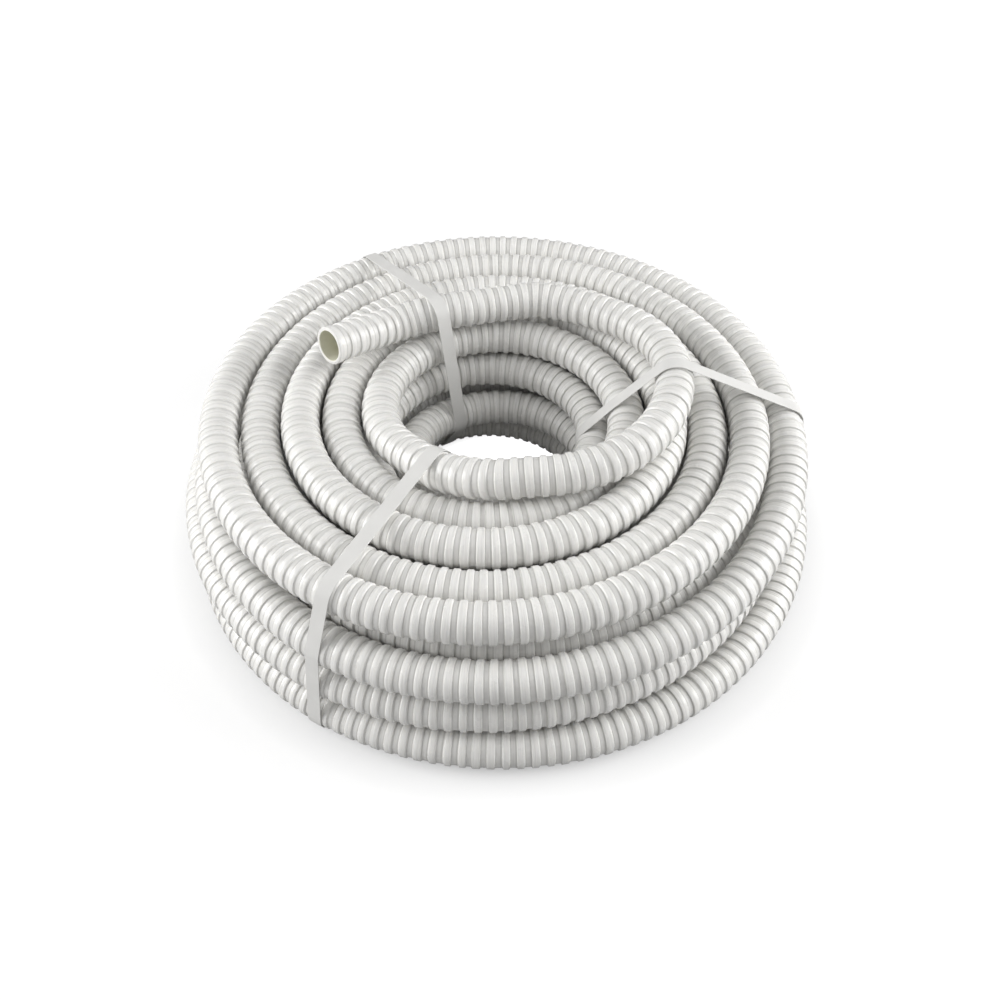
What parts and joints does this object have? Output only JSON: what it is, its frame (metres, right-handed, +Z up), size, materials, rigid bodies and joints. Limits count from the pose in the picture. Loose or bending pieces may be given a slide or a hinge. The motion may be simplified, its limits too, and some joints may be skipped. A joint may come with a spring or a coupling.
{
  "type": "vacuum hose",
  "caption": "Coil of ribbed pool vacuum hose wound in level layers, its last turn lying loose on top and ending in an open mouth, bound by flat packing straps.",
  "frame": {"origin": "on the surface that the coil lies on, under the middle of the coil's outline", "axes": "+Z up along the coil's axis; -Y towards the front; the open mouth is at the back left, -X +Y"},
  "size_m": [0.6908, 0.6902, 0.2215],
  "materials": {
    "hose_plastic": "satin, off-white",
    "strap_plastic": "milky translucent, faintly embossed"
  },
  "bodies": {
    "root": {"hose_coil": "hose_plastic", "hose_free_end": "hose_plastic", "hose_mouth": "hose_plastic", "strap_front_left": "strap_plastic", "strap_back_left": "strap_plastic", "strap_right": "strap_plastic"}
  },
  "joints": []
}
